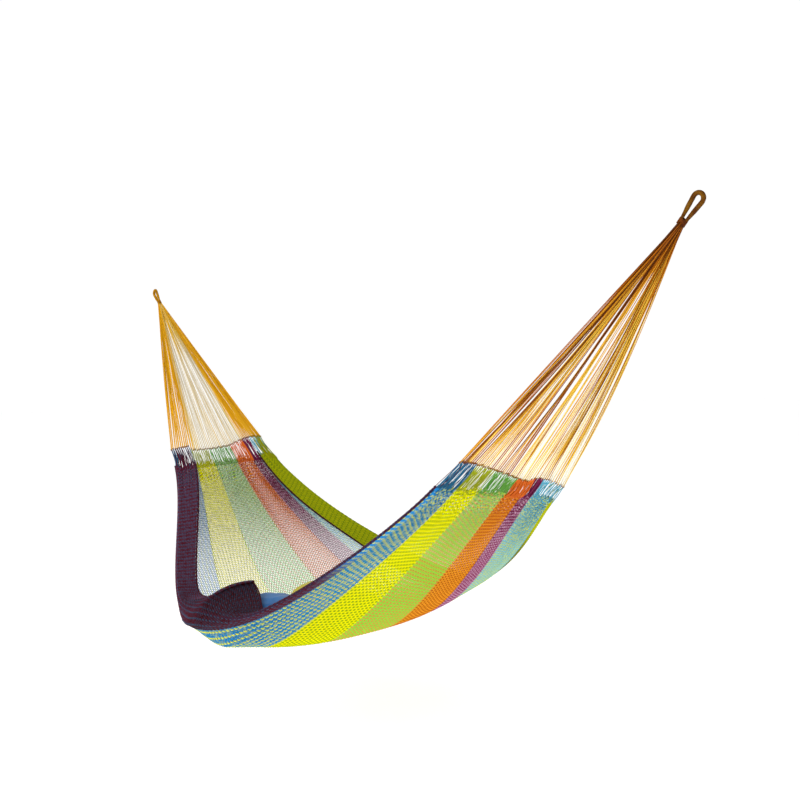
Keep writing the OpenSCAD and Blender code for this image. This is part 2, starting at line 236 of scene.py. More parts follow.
def tubes(name, paths, radius, up, sides=3, tone=None, inside=None, loop=False):
    """One mesh of many cords. paths is (cords, points, 3), up a direction beside each point.
    tone is a value per point carried into the material, inside a height in the cloth."""
    paths = np.asarray(paths, float)
    cords, count, _ = paths.shape
    if loop:
        tangent = unit(np.roll(paths, -1, 1) - np.roll(paths, 1, 1))
    else:
        tangent = unit(np.gradient(paths, axis=1))
    side = unit(np.cross(tangent, np.broadcast_to(up, paths.shape)))
    over = np.cross(side, tangent)
    turn = 2 * math.pi * (np.arange(sides) + 0.5) / sides
    r = np.broadcast_to(radius, (cords, count))[..., None, None]
    ring = (
        np.cos(turn)[:, None] * side[:, :, None, :] + np.sin(turn)[:, None] * over[:, :, None, :]
    )
    points = paths[:, :, None, :] + r * ring
    spans = count if loop else count - 1
    c, i, s = np.meshgrid(np.arange(cords), np.arange(spans), np.arange(sides), indexing="ij")
    c, i, s = c.ravel(), i.ravel(), s.ravel()
    j, t = (i + 1) % count, (s + 1) % sides

    def at(a, b, d):
        return (a * count + b) * sides + d

    quads = np.stack([at(c, i, s), at(c, i, t), at(c, j, t), at(c, j, s)], 1)
    across = np.stack([i, i, i + 1, i + 1], 1) / spans
    down = (c[:, None] + np.stack([s, s + 1, s + 1, s], 1) / sides) / cords
    corners, totals = [quads.ravel()], [np.full(len(quads), 4)]
    uv = [np.stack([across.ravel(), down.ravel()], 1)]
    if not loop:
        for k, order in ((0, slice(None, None, -1)), (count - 1, slice(None))):
            cap = at(np.arange(cords)[:, None], k, np.arange(sides)[None, order])
            corners.append(cap.ravel())
            totals.append(np.full(cords, sides))
            row = (np.arange(cords)[:, None] + (np.arange(sides)[None, order] + 0.5) / sides)
            uv.append(np.stack([np.full(cap.size, k / spans), (row / cords).ravel()], 1))
    corners, totals, uv = np.concatenate(corners), np.concatenate(totals), np.concatenate(uv)
    mesh = bpy.data.meshes.new(name)
    mesh.vertices.add(points.size // 3)
    mesh.vertices.foreach_set("co", points.astype(np.float32).ravel())
    mesh.loops.add(len(corners))
    mesh.loops.foreach_set("vertex_index", corners.astype(np.int32))
    mesh.polygons.add(len(totals))
    starts = np.concatenate([[0], np.cumsum(totals)[:-1]])
    mesh.polygons.foreach_set("loop_start", starts.astype(np.int32))
    mesh.polygons.foreach_set("use_smooth", np.ones(len(totals), bool))
    layer = mesh.uv_layers.new(name="OFBake")
    layer.data.foreach_set("uv", uv.astype(np.float32).ravel())
    mesh.update(calc_edges=True)
    for label, values in (("tone", tone), ("inside", inside)):
        if values is None:
            continue
        values = np.asarray(values, float)
        if values.ndim < 3:
            values = np.broadcast_to(
                values[..., None] if values.ndim == 2 else values[:, None, None],
                (cords, count, sides),
            )
        data = mesh.attributes.new(label, "FLOAT", "POINT")
        data.data.foreach_set("value", values.astype(np.float32).ravel())
    mesh.validate()
    obj = bpy.data.objects.new(name, mesh)
    bpy.context.scene.collection.objects.link(obj)
    return obj


# ---- Materials -----------------------------------------------------------------------------


def linear(code):
    """Colour written as #rrggbb, as scene-linear red, green, blue and alpha."""
    parts = [int(code[k : k + 2], 16) / 255 for k in (1, 3, 5)]
    return [p / 12.92 if p <= 0.04045 else ((p + 0.055) / 1.055) ** 2.4 for p in parts] + [1]


class Material:
    """A small helper for node materials."""

    def __init__(self, name, base, rough=0.7):
        self.material = bpy.data.materials.new(name)
        self.material.use_nodes = True
        self.tree = self.material.node_tree
        self.shader = self.tree.nodes["Principled BSDF"]
        self.shader.inputs["Base Color"].default_value = linear(base)
        self.shader.inputs["Roughness"].default_value = rough
        self.shader.inputs["Specular IOR Level"].default_value = 0.06
        self.material.diffuse_color = linear(base)

    def node(self, kind, **values):
        made = self.tree.nodes.new(kind)
        for key, value in values.items():
            setattr(made, key, value)
        return made

    def link(self, source, target):
        self.tree.links.new(source, target)

    def value(self, name):
        return self.node("ShaderNodeAttribute", attribute_name=name).outputs["Fac"]

    def math(self, operation, a, b):
        made = self.node("ShaderNodeMath", operation=operation)
        for port, v in zip(made.inputs, (a, b)):
            if isinstance(v, (int, float)):
                port.default_value = v
            else:
                self.link(v, port)
        return made.outputs[0]

    def noise(self, scale, detail=2.0, stretch=(1, 1, 1)):
        where = self.node("ShaderNodeTexCoord").outputs["Object"]
        mapping = self.node("ShaderNodeMapping")
        mapping.inputs["Scale"].default_value = stretch
        self.link(where, mapping.inputs["Vector"])
        made = self.node("ShaderNodeTexNoise")
        made.inputs["Scale"].default_value = scale
        made.inputs["Detail"].default_value = detail
        self.link(mapping.outputs[0], made.inputs["Vector"])
        return made.outputs["Fac"]

    def along(self):
        """Place along the hammock, 0 under the far hook and 1 under the near one."""
        split = self.node("ShaderNodeSeparateXYZ")
        self.link(self.node("ShaderNodeTexCoord").outputs["Object"], split.inputs[0])
        return self.math("DIVIDE", split.outputs["X"], HOOK_SPAN)

    def blend(self, factor, a, b, kind="MIX"):
        made = self.node("ShaderNodeMixRGB", blend_type=kind)
        for port, v in zip(made.inputs, (factor, a, b)):
            if isinstance(v, str):
                port.default_value = linear(v)
            elif isinstance(v, (int, float)):
                port.default_value = v
            else:
                self.link(v, port)
        return made.outputs[0]

    def ramp(self, factor, stops, constant=False):
        made = self.node("ShaderNodeValToRGB")
        made.color_ramp.interpolation = "CONSTANT" if constant else "LINEAR"
        elements = made.color_ramp.elements
        while len(elements) < len(stops):
            elements.new(0.5)
        for element, (position, colour) in zip(elements, stops):
            element.position = position
            element.color = linear(colour)
        self.link(factor, made.inputs[0])
        return made.outputs[0]

    def bump(self, height, distance, strength):
        made = self.node("ShaderNodeBump")
        made.inputs["Strength"].default_value = strength
        made.inputs["Distance"].default_value = distance
        self.link(height, made.inputs["Height"])
        self.link(made.outputs[0], self.shader.inputs["Normal"])

    def colour(self, source):
        self.link(source, self.shader.inputs["Base Color"])

    def sheen(self, weight):
        self.shader.inputs["Sheen Weight"].default_value = weight


def cotton(material, colour):
    """Fibre variation and roughness common to every cord."""
    fine = material.noise(420, 3)
    broad = material.noise(9, 2)
    darker = material.blend(1.0, colour, "#8a8a8a", "MULTIPLY")
    mixed = material.blend(material.math("MULTIPLY", fine, 0.35), colour, darker)
    paler = material.blend(1.0, mixed, "#0c0c0c", "ADD")
    mixed = material.blend(material.math("MULTIPLY", broad, 0.3), mixed, paler)
    material.colour(mixed)
    material.bump(material.noise(900, 2), 0.0004, 0.5)
    return material.material


def net_material(name, outer, inner_lit, crowd_shade, fleck, spotted):
    """Net cord, brighter on the outer face than on the inner one. The inner face's colour is
    painted light and shade: the same cord, toned as it looks on the hammock's inside.
    Both faces are mottled, and they deepen in streaks towards the ends of the bed, which is
    painted shade where the cords crowd together."""
    made = Material(name, outer)
    crowd_shade_amount = made.value("tone")
    streaks = made.ramp(made.noise(1, 3, (7, 120, 7)), [(0.38, "#000000"), (0.6, "#ffffff")])
    spots = made.ramp(made.noise(84, 1), [(0.52, "#000000"), (0.57, "#ffffff")])
    grains = made.ramp(made.noise(120, 2), [(0.38, "#808080"), (0.54, "#ffffff")])
    # Painted shade where the cords crowd towards the ends of the bed, in streaks along them.
    amount = made.math("MULTIPLY", crowd_shade_amount, made.math("ADD", streaks, 0.35))
    # Inner face: painted light and shade of the cord, deepened by the painted shade at the ends.
    inside = made.blend(made.math("MINIMUM", amount, 0.95), inner_lit, crowd_shade)
    inside = made.blend(0.85, inside, made.blend(1.0, inside, grains, "MULTIPLY"))
    outside = made.blend(made.math("MULTIPLY", spots, spotted), outer, fleck)
    # Outer face: a weaker share of the painted shade at the ends, and none on its spots.
    amount = made.math("MULTIPLY", crowd_shade_amount, made.math("SUBTRACT", 1.0, spots))
    outside = made.blend(made.math("MULTIPLY", amount, 0.6), outside, crowd_shade)
    # The cord's height in the cloth chooses between the outer colour and the painted inner
    # colour.
    side = made.ramp(made.value("inside"), [(0.35, "#000000"), (0.7, "#ffffff")])
    return cotton(made, made.blend(side, outside, inside))


def plain_cord(name, base, other):
    """Cord whose colour drifts between two tones."""
    made = Material(name, base)
    tone = made.ramp(made.noise(60, 3), [(0.35, "#000000"), (0.65, "#ffffff")])
    return cotton(made, made.blend(tone, base, other))


def fan_material(name, base, stops):
    """Fan cord, coloured cord by cord."""
    made = Material(name, base)
    return cotton(made, made.ramp(made.value("tone"), stops))


# ---- The net -------------------------------------------------------------------------------

WAVE = 0.017      # length of one mesh of the net
PITCH = 0.0044    # distance between cords at the middle of the bed
CORD = 0.0021     # radius of a net cord
LIFT = 0.0018     # height of a cord above and below the middle of the cloth
SWAY = 0.66       # sideways swing of a cord, as a share of the distance between cords
THIN_END = 0.55   # share of its thickness that a cord keeps at the ends of the bed
FLECK_LIFT = 1.55 * LIFT
FLECK_CORD = 1.15 * CORD
BORDER_FLECK_LIFT = 1.15 * LIFT
STEPS_PER_MESH = 4
BORDER_CORD = (0.0013, 0.003)    # smallest and largest radius of a border's cord
BACKING_STEP = 3                 # the straight cords behind a border keep every third point
LIP_REACH = 0.006                # how far a border's outer colour turns over its edge

# Points of the cords, evenly spaced along the middle line of the bed
fine_u = np.linspace(-WOVEN, WOVEN, 2001)
length = np.concatenate(
    [[0], np.cumsum(np.linalg.norm(np.diff(line(fine_u), axis=0), axis=1))]
)
meshes = int(length[-1] / WAVE)
steps_along = STEPS_PER_MESH * meshes + 1
net_u = np.interp(np.linspace(0, length[-1], steps_along), length, fine_u)
phase = np.arange(steps_along) * 2 * math.pi / STEPS_PER_MESH


def coil(pick, lift):
    """Coiled offsets of the picked cords: sideways, as a share of the distance between cords,
    and above the cloth."""
    turn = np.where(pick % 2 == 0, 1.0, -1.0)[:, None]
    return SWAY * turn * np.cos(phase)[None, :], lift * turn * np.sin(phase)[None, :]


def thickness(u, radius):
    """Cords lie closer and thinner towards the ends of the bed, and open out on the far side."""
    opened = mix(0.68, 1.1, between(u, -0.1, 0.15)) + 0.42 * between(-u, 0.4, 0.8)
    return radius * mix(THIN_END, 1.0, belly(u)) * opened


def uneven(u, w):
    """Places along the bed, shifted a little so that the rows of meshes wander."""
    shift = 0.0016 * np.sin(9 * w + 3 * u) + 0.0009 * np.sin(23 * w - 13 * u + 1)
    return u + shift * np.clip((WOVEN - np.abs(u)) / 0.05, 0, 1)


def ragged(u):
    """Places along the bed with the last row of each cord drawn back by its own amount."""
    drawn = 0.022 * random.random((len(u), 1))
    return u * (1 - drawn * between(np.abs(u), 0.8, WOVEN))


def drift(u, w):
    """Stripes near the back run a little askew from end to end."""
    return (0.004 - 0.022 * u) * between(w, 0.2, 0.4) * (1 - between(w, 0.7, 0.9))


def stripe_cords(name, w_from, w_to, pick, count, lift, radius):
    """The picked cords of a stripe, coiled so that each one links with its neighbours."""
    sway, rise = coil(pick, lift)
    w = w_from + (w_to - w_from) * (pick[:, None] + 0.5 + sway) / count
    w = w + drift(net_u[None, :], w)
    u = ragged(uneven(np.broadcast_to(net_u, w.shape), w))
    normal = normal_at(u, w)
    paths = place(u, w, section(u, w) + normal * rise[..., None])
    up = LATERAL * normal[..., :1] + upward(u) * normal[..., 1:]
    # How much painted shade a cord takes towards the ends of the bed, where the cords crowd
    # together.
    crowd_shade_mask = np.where(u < 0, between(-u, 0.3, 0.8), 0.8 * between(u, 0.6, 0.9))
    return tubes(
        name, paths, thickness(u, radius), up, tone=crowd_shade_mask, inside=0.5 + 0.5 * rise / LIFT
    )


def border_cords(name, path, ws, pick, count, lift):
    """The picked cords of a border, following its path round the fold. Without lift they run
    straight and close the cloth."""
    step = 1 if lift else BACKING_STEP
    sway, rise = (offset[:, ::step] * (lift > 0) for offset in coil(pick, lift))
    along = net_u[::step]
    share = np.clip((pick[:, None] + 0.5 + sway) / count, 0.002, 0.998)
    points = path(along)
    steps = np.linalg.norm(np.diff(points, axis=1), axis=2)
    reach = np.concatenate([np.zeros((len(along), 1)), np.cumsum(steps, 1)], 1)
    spots = np.empty(share.shape + (2,))
    ahead = np.empty(share.shape + (2,))
    w = np.empty(share.shape)
    for k in range(len(along)):
        at = share[:, k] * reach[k, -1]
        for axis in (0, 1):
            spots[:, k, axis] = np.interp(at, reach[k], points[k, :, axis])
            after = np.interp(at + NEARBY, reach[k], points[k, :, axis])
            before = np.interp(at - NEARBY, reach[k], points[k, :, axis])
            ahead[:, k, axis] = after - before
        w[:, k] = np.interp(at, reach[k], ws)
    ahead = unit(ahead)
    normal = np.stack([-ahead[..., 1], ahead[..., 0]], -1)
    u = ragged(np.broadcast_to(along, w.shape))
    paths = place(u, w, spots + normal * rise[..., None])
    up = LATERAL * normal[..., :1] + upward(u) * normal[..., 1:]
    pitch = np.broadcast_to(reach[:, -1] / count, w.shape)
    radius = np.clip(0.6 * pitch, *BORDER_CORD)
    lip = share * reach[None, :, -1] < reach[None, :, 2] + LIP_REACH
    tone = np.where(lip, between(u, 0.55, 0.75), 0.0)
    return tubes(name, paths, radius, up, tone=tone)


def border_ws(side, fold):
    ws = [1 - FOLD_LIP, 1 - FOLD_LIP / 2] + [1.0] * (FOLD_STEPS + 1)
    return side * np.array(ws + [1 - fold * j / FLAP_STEPS for j in range(1, FLAP_STEPS + 1)])


def move_with(obj, half):
    """Ties a piece in the middle of the bed to the bed. A piece towards an edge keeps its place,
    with its transform baked into its mesh.
    """
    if half == "front":
        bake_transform(obj)
    elif half == "back":
        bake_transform(obj)
    else:
        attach(obj, "bed")


def picks(count, every):
    """Which of the cords are flecks: the middle one of every few."""
    return np.arange(count) % every == every // 2


def build_stripe(name, w_from, w_to, every, half, colours, spotted):
    """A stripe of coiled cords with fleck cords between them. The colours are the outer face,
    the inner face as painted light and shade, the painted shade at the ends, and the flecks'
    outer face and their inner face as painted light and shade."""
    outer, inner_lit, crowd_shade, fleck, fleck_inner_lit = colours
    count = int(round((w_to - w_from) * BED_W / 2 / PITCH))
    numbers, picked = np.arange(count), picks(count, every)
    cords = stripe_cords(name + "_net", w_from, w_to, numbers[~picked], count, LIFT, CORD)
    cords.data.materials.append(net_material(name + "_cord", outer, inner_lit, crowd_shade, fleck, spotted))
    flecks = stripe_cords(
        name + "_flecks", w_from, w_to, numbers[picked], count, FLECK_LIFT, FLECK_CORD
    )
    flecks.data.materials.append(
        net_material(name + "_fleck_cord", fleck, fleck_inner_lit, crowd_shade, fleck, 0.0)
    )
    for obj in (cords, flecks):
        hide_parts(name + "_stripe")
        move_with(obj, half)


def border_material(name, main, fleck, lip):
    """Border cord, mottled, darker where the bed hides the light, and with its own lip colour."""
    made = Material(name, main)
    mottled = made.ramp(made.noise(110, 2), [(0.4, "#000000"), (0.6, "#ffffff")])
    shade = made.ramp(made.along(), [(0.38, "#ffffff"), (0.52, "#a0a0a0"), (0.6, "#c8c8c8")])
    body = made.blend(made.math("MULTIPLY", mottled, 0.35), main, fleck)
    body = made.blend(1.0, body, shade, "MULTIPLY")
    return cotton(made, made.blend(made.value("tone"), body, lip))


def build_border(name, path, ws, count, every, half, colours):
    """A folded border: coiled cords, fleck cords and straight cords that close the cloth. The
    colours are the cords, their lip, the flecks, their lip, and the backing."""
    base, base_lip, fleck, fleck_lip, backing = colours
    numbers, picked = np.arange(count), picks(count, every)
    for label, chosen, lift, main, lip in (
        ("_net", numbers[~picked], LIFT, base, base_lip),
        ("_flecks", numbers[picked], BORDER_FLECK_LIFT, fleck, fleck_lip),
        ("_backing", numbers, 0.0, backing, base_lip),
    ):
        obj = border_cords(name + label, path, ws, chosen, count, lift)
        obj.data.materials.append(border_material(name + label + "_cord", main, fleck, lip))
        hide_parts(name + "_border")
        move_with(obj, half)


# Stripe colours: outer face, inner face, ends, fleck outer face, fleck inner face. The inner
# faces are painted light and shade of the same cords, and the ends' colours are painted shade
# where the cords crowd together.
BLUE = ("#2c8fca", "#7aa4d0", "#2c5c80", "#e6ea4c", "#c0d49a")
YELLOW = ("#fffa00", "#eee05c", "#c8c400", "#9cb800", "#adb42c")
GREEN = ("#9ce848", "#a8cc9a", "#88a674", "#fa9244", "#98906c")
ORANGE = ("#ffae2c", "#d46a40", "#b4441c", "#c05a08", "#7c2c24")
PURPLE = ("#8e2058", "#7c2c48", "#58142e", "#d8a4c4", "#6a5070")
LIGHT_BLUE = ("#70caee", "#7cb0ca", "#4c8ca4", "#e6ea4c", "#b4c890")
MAROON = ("#701226", "#2380c4", "#55607e", "#c9d24a", "#22121e")
OLIVE = ("#bec000", "#c6c800", "#6f8404", "#8c9c04", "#7c8a00")

build_stripe("blue", -0.955, -0.638, 5, "front", BLUE, spotted=0.3)
build_stripe("yellow", -0.638, -0.275, 4, "front", YELLOW, spotted=0.08)
build_stripe("green", -0.275, 0.16, 5, "middle", GREEN, spotted=0.18)
build_stripe("orange", 0.16, 0.462, 4, "back", ORANGE, spotted=0.25)
build_stripe("purple", 0.462, 0.64, 4, "back", PURPLE, spotted=0.35)
build_stripe("light_blue", 0.64, 0.955, 5, "back", LIGHT_BLUE, spotted=0.5)

FRONT_WS = border_ws(-1, FRONT_FLAP / float(half_width(np.array(WOVEN))))
BACK_WS = border_ws(1, BACK_FOLD)
build_border("maroon", front_path, FRONT_WS, 60, 4, "front", MAROON)
build_border("olive", back_path, BACK_WS, 46, 5, "back", OLIVE)

# ---- Edge cords ----------------------------------------------------------------------------

EDGE_TURNS = 110       # of the three strands round each other, over the whole bed
EDGE_STEPS = 6         # points of a strand in each turn
STRAND_R = 0.0019
STRAND_OUT = 0.0018    # distance of a strand's middle from the middle of the edge cord
EDGE_OUT = 0.0045      # distance of the edge cord beyond the edge of the border
RIM_R = 0.0024
RIM_POINT = 4          # point of the front border's section that the rim cord follows

edge_u = np.interp(np.linspace(0, length[-1], EDGE_STEPS * EDGE_TURNS + 1), length, fine_u)
twist = np.arange(len(edge_u)) * 2 * math.pi / EDGE_STEPS
edge_material = plain_cord("edge_cord", "#470f1e", "#2e1224")


def edge_rope(name, node, path, ws, half):
    """The cord along a border's free edge, twisted from three strands."""
    points = path(edge_u)
    beyond = unit(points[:, -1] - points[:, -2])
    middle = place(edge_u, np.full(len(edge_u), ws[-1]), points[:, -1] + EDGE_OUT * beyond)
    strands = []
    for k in range(3):
        a = twist + 2 * math.pi * k / 3
        out = np.cos(a)[:, None] * LATERAL + np.sin(a)[:, None] * upward(edge_u)
        strands.append(middle + STRAND_OUT * out)
    rope = tubes(name, np.stack(strands), STRAND_R, upward(edge_u), sides=4)
    rope.data.materials.append(edge_material)
    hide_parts(node)
    move_with(rope, half)


def front_rim():
    """The dark cord along the front border's fold."""
    rim = place(edge_u, -np.ones(len(edge_u)), front_path(edge_u)[:, RIM_POINT])
    cord = tubes("front_rim_cord", rim[None], RIM_R, upward(edge_u), sides=5)
    cord.data.materials.append(plain_cord("rim_cord", "#1d1a30", "#3a1426"))
    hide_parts("maroon_border")
    move_with(cord, "front")


edge_rope("front_edge_rope", "front_edge_cord", front_path, FRONT_WS, "front")
edge_rope("back_edge_rope", "back_edge_cord", back_path, BACK_WS, "back")
front_rim()

# ---- End loops -----------------------------------------------------------------------------

HEADERS = 56           # places across the bed where end loops and fan meet
LOOP_CORDS = 4         # cords of the bed gathered to each place
LOOP_START = 0.03      # how far inside the weave they start
LOOP_SPREAD = 1.015    # how much wider than the bed they start
LOOP_TIP = 0.1         # share of their distance that they keep where they are tied
LOOP_LAYER = 0.0012    # height of the upper cords above the lower ones
LOOP_SAG = 0.004
LOOP_POINTS = 7
LOOP_R = 0.0009
CLOSED_R = 0.0009      # added where the loops lie close together
FRONT_FOLDED = -0.69   # w up to which the front border's fold lies over the end loops
BACK_FOLDED = 0.96 - BACK_FOLD    # and from which the back border's does
KNOT_POINTS = 10
KNOT_SIZE = 0.0026
KNOT_VARIES = 0.0012
KNOT_R = 0.0011

# The stripes' colours across the end loops, from the front to the back
STRIPE_STOPS = [
    (0.0, "#4a1024"), (0.02, "#1c5878"), (0.181, "#8f9618"), (0.3625, "#579038"),
    (0.58, "#d06420"), (0.731, "#6c1c44"), (0.82, "#56a6bf"), (0.98, "#8f9200"),
]

# How far in the far and the near end of the bed are drawn, in thousandths of half the bed
HEADER_LINES = {
    -1: ((-1, -0.66, -0.6, -0.2, 0.16, 0.3, 0.6, 1), (-10, -6, 12, 17, 14, 6, -10, -17)),
    1: ((-1, -0.4, 0.1, 0.35, 0.48, 0.7, 1), (-19, -6, 9, 16, -4, -7, -2)),
}


def header_w(k):
    return -1 + 2 * (np.asarray(k) + 0.5) / HEADERS


def header_shift(end, w):
    """How far the end of the bed is drawn in, as a share of half the bed."""
    k = (w + 1) / 2 * HEADERS
    return np.interp(w, *HEADER_LINES[end]) / 1000 + 0.003 * np.sin(2.9 * k) * np.sin(1.1 * k)


def header_point(end, w):
    """Where a fan cord meets the bed. The end of the bed is uneven from stripe to stripe."""
    return bed_point(end * (1 - header_shift(end, w)), w)


def end_loops(name, end):
    """Cords of the bed gathered four at a time to the fan's cords, straight and open."""
    gathered = header_w(np.repeat(np.arange(HEADERS), LOOP_CORDS))
    number = np.tile(np.arange(LOOP_CORDS), HEADERS)
    step = (number + 0.5) / LOOP_CORDS - 0.5
    start_w = (gathered + 2 * step / HEADERS) * LOOP_SPREAD
    t = np.linspace(0, 1, LOOP_POINTS)
    share = smooth(t)[None, :]
    w = mix(start_w[:, None], gathered[:, None] + LOOP_TIP * step[:, None] / HEADERS, share)
    tip = 1 - header_shift(end, gathered)[:, None]
    u = end * mix(WOVEN - LOOP_START, tip, t[None, :])
    sag = LOOP_SAG * random.normal(size=len(gathered))[:, None] * np.sin(math.pi * t)[None, :]
    upper = number >= (1 if end < 0 else 3)
    in_front, behind = gathered < FRONT_FOLDED, gathered > BACK_FOLDED
    folded = upper & (in_front | behind)
    over_fold = 2 * FOLD_R * folded[:, None] * (1 - share)
    p = section(u, w)
    p[..., 1] += sag + LOOP_LAYER * (upper - 0.5)[:, None] + over_fold
    tone = (gathered - drift(end, gathered) + 1) / 2
    tone = np.where(folded, np.where(in_front, 0.01, 0.99), np.clip(tone, 0.03, 0.97))
    tone = np.broadcast_to(tone[:, None], w.shape)
    closed_from = 0.4 if end < 0 else 0.1
    closed = between(w, closed_from, closed_from + 0.1) * (1 - between(w, 0.6, 0.66))
    closed = closed + between(np.abs(w), 0.78, 0.84) * (end < 0)
    obj = tubes(name, place(u, w, p), LOOP_R + CLOSED_R * closed, upward(u), sides=4, tone=tone)
    made = Material(name + "_cord", "#8a8f4a")
    colour = made.ramp(made.value("tone"), STRIPE_STOPS, constant=True)
    obj.data.materials.append(cotton(made, colour))
    return obj


def rings(name, end, material):
    """Small knots where the fan's cords pass through the end loops."""
    middle = header_point(end, header_w(np.arange(HEADERS)))
    a = np.arange(KNOT_POINTS) * 2 * math.pi / KNOT_POINTS
    axis = arm_axis(end)
    size = KNOT_SIZE + KNOT_VARIES * random.random(HEADERS)[:, None, None]
    loop = (
        middle[:, None, :]
        + size * np.cos(a)[None, :, None] * LATERAL
        + size * np.sin(a)[None, :, None] * axis
    )
    obj = tubes(name, loop, KNOT_R, np.cross(LATERAL, axis), sides=4, loop=True)
    obj.data.materials.append(material)
    return obj


# ---- Fans ----------------------------------------------------------------------------------

NECK_REACH = 0.069          # from a hook to the middle of the whipping
WHIP_LEN = 0.016
FAN_START = 0.070
FAN_R = (0.00085, 0.0011)   # radius of a fan cord at the neck and at the bed
FAN_POINTS = 21
NECK_SPREAD = 0.0066        # radius of the bunch of fan cords at the neck
NECK_ORDER = 0.0065         # how far the cords keep their order across the neck
FOOT_GAP = 0.0016           # between cords that share a place across the bed
SLACK_VARIES = 0.0035
ASIDE_VARIES = 0.002
FAR_BUNCH = 0.45            # share of the near fan's bunching that the far fan has
EDGE_BUNCH = 0.55           # w from which the fan's cords lie twice as close


def hook(end):
    return np.array([0.0, 0, 0]) if end < 0 else np.array([HOOK_SPAN, 0, 0])


def arm_axis(end):
    return unit(line(float(end)) - hook(end))


def arm_side(end):
    return np.cross(LATERAL, arm_axis(end))


def fan_paths(end, per, slack):
    """Fan cords from the neck of an eye to the end of the bed, with per cords to each place
    across the bed and a slack that depends on w. Returns their paths, each cord's w, each
    point's share of the way and a random value for each cord."""
    k = np.arange(HEADERS)
    k = np.repeat(k, per * (1 + (np.abs(header_w(k)) > EDGE_BUNCH)))
    n = len(k)
    axis, side = arm_axis(end), arm_side(end)
    angle = random.random(n) * 2 * math.pi
    radius = NECK_SPREAD * np.sqrt(random.random(n))
    w = header_w(k)
    order = NECK_ORDER * w + 0.35 * radius * np.cos(angle)
    neck = (
        hook(end)
        + axis * FAN_START
        + LATERAL * (order[:, None] * 0.9)
        + side * (radius * np.sin(angle))[:, None] * 0.8
    )
    beside = (np.arange(n) % per - (per - 1) / 2) * FOOT_GAP
    foot = header_point(end, w) + LATERAL * beside[:, None]
    t = np.linspace(0, 1, FAN_POINTS) ** 1.35
    paths = neck[:, None, :] + (foot - neck)[:, None, :] * t[None, :, None]
    wave = random.normal(size=n)
    bow = np.sin(math.pi * np.minimum(1, t * 1.02))[None, :]
    drop = (slack(w) + SLACK_VARIES * np.abs(wave))[:, None] * bow
    bunch = 0.009 * np.sin(19 * w + 2 * np.sin(7 * w)) + 0.003 * np.sin(61 * w)
    bunch = bunch * (FAR_BUNCH if end < 0 else 1.0)
    aside = (bunch + ASIDE_VARIES * random.normal(size=n))[:, None] * bow
    paths = paths - VERTICAL * drop[..., None] + LATERAL * aside[..., None]
    return paths, w, t, wave


def build_fan(name, end, node, per, fine, slack, tone, stops, base):
    """A fan of cords. Those in its middle are finer by the share fine, and tone(w, t, wave)
    places each point on the ramp of colours."""
    paths, w, t, wave = fan_paths(end, per, slack)
    finer = 1 - fine * (1 - between(np.abs(w), 0.45, 0.55))
    thick = mix(*FAN_R, t)[None, :] * finer[:, None]
    cords = tubes(
        name, paths, thick, arm_side(end), sides=4,
        tone=np.clip(tone(w[:, None], t[None, :], wave[:, None]), 0, 1),
    )
    cords.data.materials.append(fan_material(name + "_cord", base, stops))
    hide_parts(node)
    if end < 0:
        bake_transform(cords)
    else:
        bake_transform(cords)


def far_slack(w):
    return 0.004 + 0.002 * np.abs(w)


def near_slack(w):
    return 0.004 + 0.024 * between(w, 0.1, 1)


def far_tone(w, t, wave):
    """Golden at both sides and near the neck, and pale in the middle."""
    sides = between(np.abs(w + 0.04), 0.48, 0.6)
    neck = (1 - between(t, 0.1, 0.5)) * (np.abs(w) < 0.55)
    return 0.75 - 0.6 * sides - 0.35 * neck + 0.13 * wave


def near_tone(w, t, wave):
    """Dark at the neck and along the front, and paler and yellower towards the back."""
    down = 0.02 + 0.2 * between(t, 0, 0.25) + 0.34 * t
    across = 0.24 * between(w, -0.2, 0.4) * t + 0.12 * np.sin(37 * w)
    return down + across + 0.18 * wave - 0.3 * between(-w, 0.75, 0.95)


build_fan(
    "far_fan", -1, "far_arm_cords", 3, 0.1, far_slack, far_tone,
    [(0.0, "#cc8c00"), (0.25, "#e2aa18"), (0.5, "#dcb850"), (0.75, "#d8ccb0"), (1.0, "#e6dfd2")],
    "#d69210",
)
build_fan(
    "near_fan", 1, "near_arm_cords", 2, 0.0, near_slack, near_tone,
    [(0.0, "#4a2200"), (0.3, "#a05400"), (0.55, "#cc9020"), (0.8, "#e8c64c"), (1.0, "#f2e8c4")],
    "#a85c06",
)
knot_material = plain_cord("knot_cord", "#7a3f14", "#5a2a0c")
for name, end, node in (("far_end", -1, "far_end_loops"), ("near_end", 1, "near_end_loops")):
    for obj in (end_loops(name + "_cords", end), rings(name + "_knots", end, knot_material)):
        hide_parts(node)
        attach(obj, "bed")

# ---- Eyes ----------------------------------------------------------------------------------

EYE_R = 0.0135        # radius of the bend over the hook, to the middle of the rope
WRAP_R = 0.006        # radius of the wrapped rope
ROPE_END = NECK_REACH + WHIP_LEN / 2 + 0.002
LEG_HALF = 0.0046     # half the distance between the two legs at the neck
NECK_R = 0.0044       # radius of the rope at the neck
WRAP_CORD = 0.00095   # radius of the wrapping's cord
WRAP_PITCH = 0.0017
WRAP_STEP = 0.00014   # distance between the points that the wrapping is wound on
CORE_STEP = 0.0015    # and between the points of the core
CORE_INSET = 0.0016   # of the core's surface below the wrapped rope's
WHIP_CORD = 0.0011    # radius of the whipping's cord
WHIP_TURNS = 10
WHIP_HALF = 0.0054    # half the width of the flat part of the whipping
TURN_STEPS = 24


